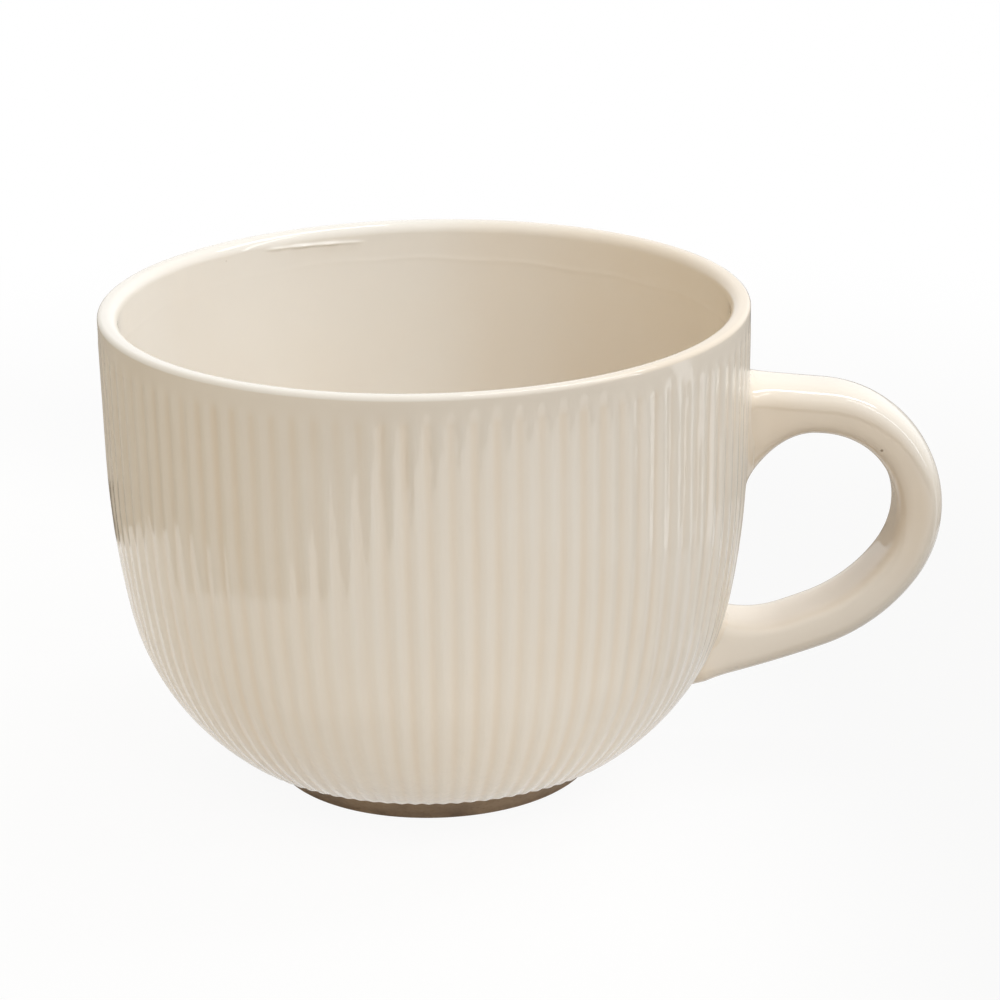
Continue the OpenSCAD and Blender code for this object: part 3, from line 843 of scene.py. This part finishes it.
class MUG_OT_stage(Operator):
    """Set the floor, the lights and the camera"""
    bl_idname = "mug.stage"
    bl_label = "Stage"

    def execute(self, context):
        s = context.scene.mug_stage
        context.scene.view_settings.view_transform = "Standard"
        self.camera(context, s)
        self.floor(s)
        self.surroundings()
        self.lamps(s)
        self.room(context, s)
        return {"FINISHED"}

    @staticmethod
    def camera(context, s):
        """The camera at the photograph's place."""
        data = bpy.data.cameras.new("camera")
        data.sensor_width = SENSOR_W
        data.lens = data.sensor_width * s.focal_px / s.picture_px
        data.clip_start, data.clip_end = CLIP
        camera = add_object("camera", data)
        place, axes = camera_axes(s)
        camera.matrix_world = Matrix.Translation(place) @ axes.to_4x4()
        context.scene.camera = camera

    @staticmethod
    def floor(s):
        """A pale floor that the camera and reflections see as nearly white, with the mug's shadow."""
        half = s.floor_w / 2
        mesh = bpy.data.meshes.new("floor")
        corners = [(-half, -half, 0), (half, -half, 0), (half, half, 0), (-half, half, 0)]
        mesh.from_pydata(corners, [], [(0, 1, 2, 3)])
        floor = add_object("floor", mesh)
        material, tree = new_material("Pale floor")
        shader = tree.nodes["Principled BSDF"]
        shader.inputs["Roughness"].default_value = 0.9
        white = add_node(tree, "ShaderNodeEmission", {"Color": (1, 1, 1, 1), "Strength": 1.0})
        path = add_node(tree, "ShaderNodeLightPath")
        place = add_node(tree, "ShaderNodeTexCoord").outputs["Object"]
        away = vector_node(tree, "LENGTH", place).outputs["Value"]
        white_share = ramp_node(tree, away, TONE_NEAR, TONE_FAR, s.floor_white, 1.0)
        off = vector_node(tree, "DISTANCE", place, s.sheet_at).outputs["Value"]
        beyond = ramp_node(tree, off, s.sheet_r - SHEET_EDGE, s.sheet_r + SHEET_EDGE)
        tone = mix_node(tree, beyond, rgba(s.sheet), rgba(s.table))
        tree.links.new(tone, shader.inputs["Base Color"])
        direct = math_node(tree, "MULTIPLY", path.outputs["Is Camera Ray"], white_share)
        mirrored = math_node(tree, "MULTIPLY", path.outputs["Is Glossy Ray"], s.floor_gloss)
        factor = math_node(tree, "MAXIMUM", direct, mirrored)
        ends = {0: factor, 1: shader.outputs[0], 2: white.outputs[0]}
        mixed = add_node(tree, "ShaderNodeMixShader", ends)
        tree.links.new(mixed.outputs[0], tree.nodes["Material Output"].inputs["Surface"])
        mesh.materials.append(material)

    @staticmethod
    def surroundings():
        """Rings on the floor that only reflections show. They glow with their own colours as painted
        reflections of the room: pale ground before the mug, darker ground with an uneven edge round it and
        a bright strip on the right, and two dark patches behind. Each ring has a name, a height in
        millimetres, and rows with an azimuth in degrees, a near and a far radius and a colour."""
        black, brown, tan = (0.05, 0.04, 0.03), (0.20, 0.15, 0.10), (0.42, 0.38, 0.33)
        # Glows above white: painted reflections of brightly lit ground and of a bright strip
        lit, bright = (1.2, 1.17, 1.13), (1.6, 1.6, 1.6)
        rings = [
            ("sheet", 0.3, [(228, 0.075, 0.33, lit), (330, 0.075, 0.33, lit), (345, 0.075, 0.33, tan)]),
            ("table", 0.5, [(40, 0.10, 1.0, tan), (90, 0.10, 1.0, tan), (112, 0.15, 0.8, tan),
                            (143, 0.146, 0.8, tan), (160, 0.175, 0.8, brown), (176, 0.195, 0.8, brown),
                            (187, 0.175, 0.8, brown), (195, 0.14, 0.8, brown), (236, 0.154, 0.8, brown),
                            (243, 0.20, 0.8, brown), (251, 0.245, 0.8, black), (260, 0.275, 0.8, black),
                            (277, 0.30, 0.8, black), (326, 0.31, 0.8, black), (340, 0.30, 0.8, tan),
                            (347, 0.16, 1.0, tan), (356, 0.16, 1.0, tan), (358, 0.16, 1.0, bright),
                            (364, 0.16, 1.0, bright), (367, 0.18, 1.0, tan), (392, 0.18, 1.0, tan),
                            (400, 0.10, 1.0, tan)]),
            ("case", 0.8, [(121, 0.146, 0.19, black), (138, 0.146, 0.195, black)]),
            ("shelf", 0.8, [(66, 0.2, 1.1, black), (80, 0.2, 1.1, black)])]
        for name, height, rows in rings:
            table = np.array([(*row[:3], *row[3]) for row in rows])
            azimuth = np.linspace(table[0, 0], table[-1, 0], RING_STEPS)
            near, far, *tint = (np.interp(azimuth, table[:, 0], column) for column in table.T[1:])
            radius, a = np.stack([near, far]), np.radians(azimuth)
            grid = np.stack([radius * np.cos(a), radius * np.sin(a), height * MM + 0 * radius], -1)
            i = np.arange(len(a) - 1)
            quads = np.stack([i, i + len(a), i + len(a) + 1, i + 1], -1)
            mesh = bpy.data.meshes.new(name)
            mesh.from_pydata(grid.reshape(-1, 3).tolist(), [], quads.tolist())
            colours = np.tile(np.stack([*tint, np.ones_like(a)], -1), (2, 1)).astype(np.float32)
            mesh.attributes.new("tint", "FLOAT_COLOR", "POINT").data.foreach_set("color", colours.ravel())
            ring = add_object(name, mesh)
            ring.visible_camera = ring.visible_diffuse = False
            ring.visible_shadow = ring.visible_transmission = False
            material, tree = new_material(name + " seen in gloss")
            colour_in = add_node(tree, "ShaderNodeAttribute", attribute_name="tint").outputs["Color"]
            glow = add_node(tree, "ShaderNodeEmission", {"Color": colour_in, "Strength": 1.0})
            tree.links.new(glow.outputs[0], tree.nodes["Material Output"].inputs["Surface"])
            mesh.materials.append(material)

    @staticmethod
    def lamps(s):
        """Two tube lamps, which draw the thin bright lines on the handle and the lip. Each has a name, two
        ends, a width and a power."""
        tubes = [("overhead tube", (0.10, 0.17, 1.17), (1.15, 0.27, 1.17), 0.20, 5.8),
                 ("side tube", (1.15, -0.33, 0.10), (0.55, -0.16, 1.05), 0.07, 1.5)]
        for name, start, stop, width, power in tubes:
            start, stop = Vector(start), Vector(stop)
            middle, run = (start + stop) / 2, (stop - start).normalized()
            back = (middle - run * middle.dot(run)).normalized()
            data = bpy.data.lights.new(name, "AREA")
            data.shape = "RECTANGLE"
            data.size, data.size_y = (stop - start).length, width
            data.energy = power
            data.color = s.tube
            lamp = add_object(name, data)
            axes = Matrix((run, back.cross(run), back)).transposed()
            lamp.matrix_world = Matrix.Translation(middle) @ axes.to_4x4()

    @staticmethod
    def room(context, s):
        """Soft light of the room, which the camera and reflections see as white: a sum of lobes, each with
        an azimuth, a rise, a strength and a colour, that fall off with a power of the cosine."""
        lobes = [(60, 10, 3.5, s.cool), (300, 40, 2.9, s.cool), (180, 8, 1.9, s.warm),
                 (0, 90, 1.15, s.cool)]
        world = bpy.data.worlds.new("room")
        world.use_nodes = True
        tree = world.node_tree
        way = add_node(tree, "ShaderNodeTexCoord").outputs["Generated"]
        light = tree.nodes["Background"]
        light.inputs["Strength"].default_value = 0.0
        light = light.outputs[0]
        for azimuth, rise, strength, tint in lobes:
            a, e = math.radians(azimuth), math.radians(rise)
            facing = (math.cos(e) * math.cos(a), math.cos(e) * math.sin(a), math.sin(e))
            level = vector_node(tree, "DOT_PRODUCT", way, facing).outputs["Value"]
            level = math_node(tree, "POWER", math_node(tree, "MAXIMUM", level, 0.0), LOBE_POWER)
            glow = {"Color": rgba(tint), "Strength": math_node(tree, "MULTIPLY", level, strength)}
            lobe = add_node(tree, "ShaderNodeBackground", glow).outputs[0]
            light = add_node(tree, "ShaderNodeAddShader", {0: light, 1: lobe}).outputs[0]
        white = add_node(tree, "ShaderNodeBackground", {"Color": (1, 1, 1, 1), "Strength": 1.0}).outputs[0]
        path = add_node(tree, "ShaderNodeLightPath")
        seen = math_node(tree, "MAXIMUM", path.outputs["Is Camera Ray"], path.outputs["Is Glossy Ray"])
        mixed = add_node(tree, "ShaderNodeMixShader", {0: seen, 1: light, 2: white})
        tree.links.new(mixed.outputs[0], tree.nodes["World Output"].inputs["Surface"])
        context.scene.world = world


GROUPS = (("mug_bowl", MugBowl), ("mug_foot", MugFoot), ("mug_handle", MugHandle),
          ("mug_finish", MugFinish), ("mug_stage", MugStage))
OPERATORS = (MUG_OT_bowl, MUG_OT_foot_ring, MUG_OT_handle, MUG_OT_slip_joints, MUG_OT_stage)


class MUG_PT_sidebar(Panel):
    """Sizes, finishes and build steps of the mug"""
    bl_idname = "MUG_PT_sidebar"
    bl_label = "Soup mug"
    bl_space_type = "VIEW_3D"
    bl_region_type = "UI"
    bl_category = "Soup mug"

    def draw(self, context):
        for operator in OPERATORS:
            self.layout.operator(operator.bl_idname)
        for key, group in GROUPS:
            box = self.layout.box()
            box.label(text=group.__doc__)
            for name in group.__annotations__:
                box.prop(getattr(context.scene, key), name)


def register():
    """Registers the classes and hangs the settings on the scene."""
    for key, group in GROUPS:
        bpy.utils.register_class(group)
        setattr(bpy.types.Scene, key, PointerProperty(type=group))
    for kind in (*OPERATORS, MUG_PT_sidebar):
        bpy.utils.register_class(kind)


def unregister():
    """Takes the classes and the settings off again."""
    for kind in reversed((*OPERATORS, MUG_PT_sidebar)):
        bpy.utils.unregister_class(kind)
    for key, group in reversed(GROUPS):
        delattr(bpy.types.Scene, key)
        bpy.utils.unregister_class(group)


def main():
    """Builds the mug and its stage."""
    register()
    bpy.ops.mug.bowl()
    bpy.ops.mug.foot_ring()
    bpy.ops.mug.handle()
    bpy.ops.mug.slip_joints()
    bpy.ops.mug.stage()


if __name__ == "__main__":
    main()
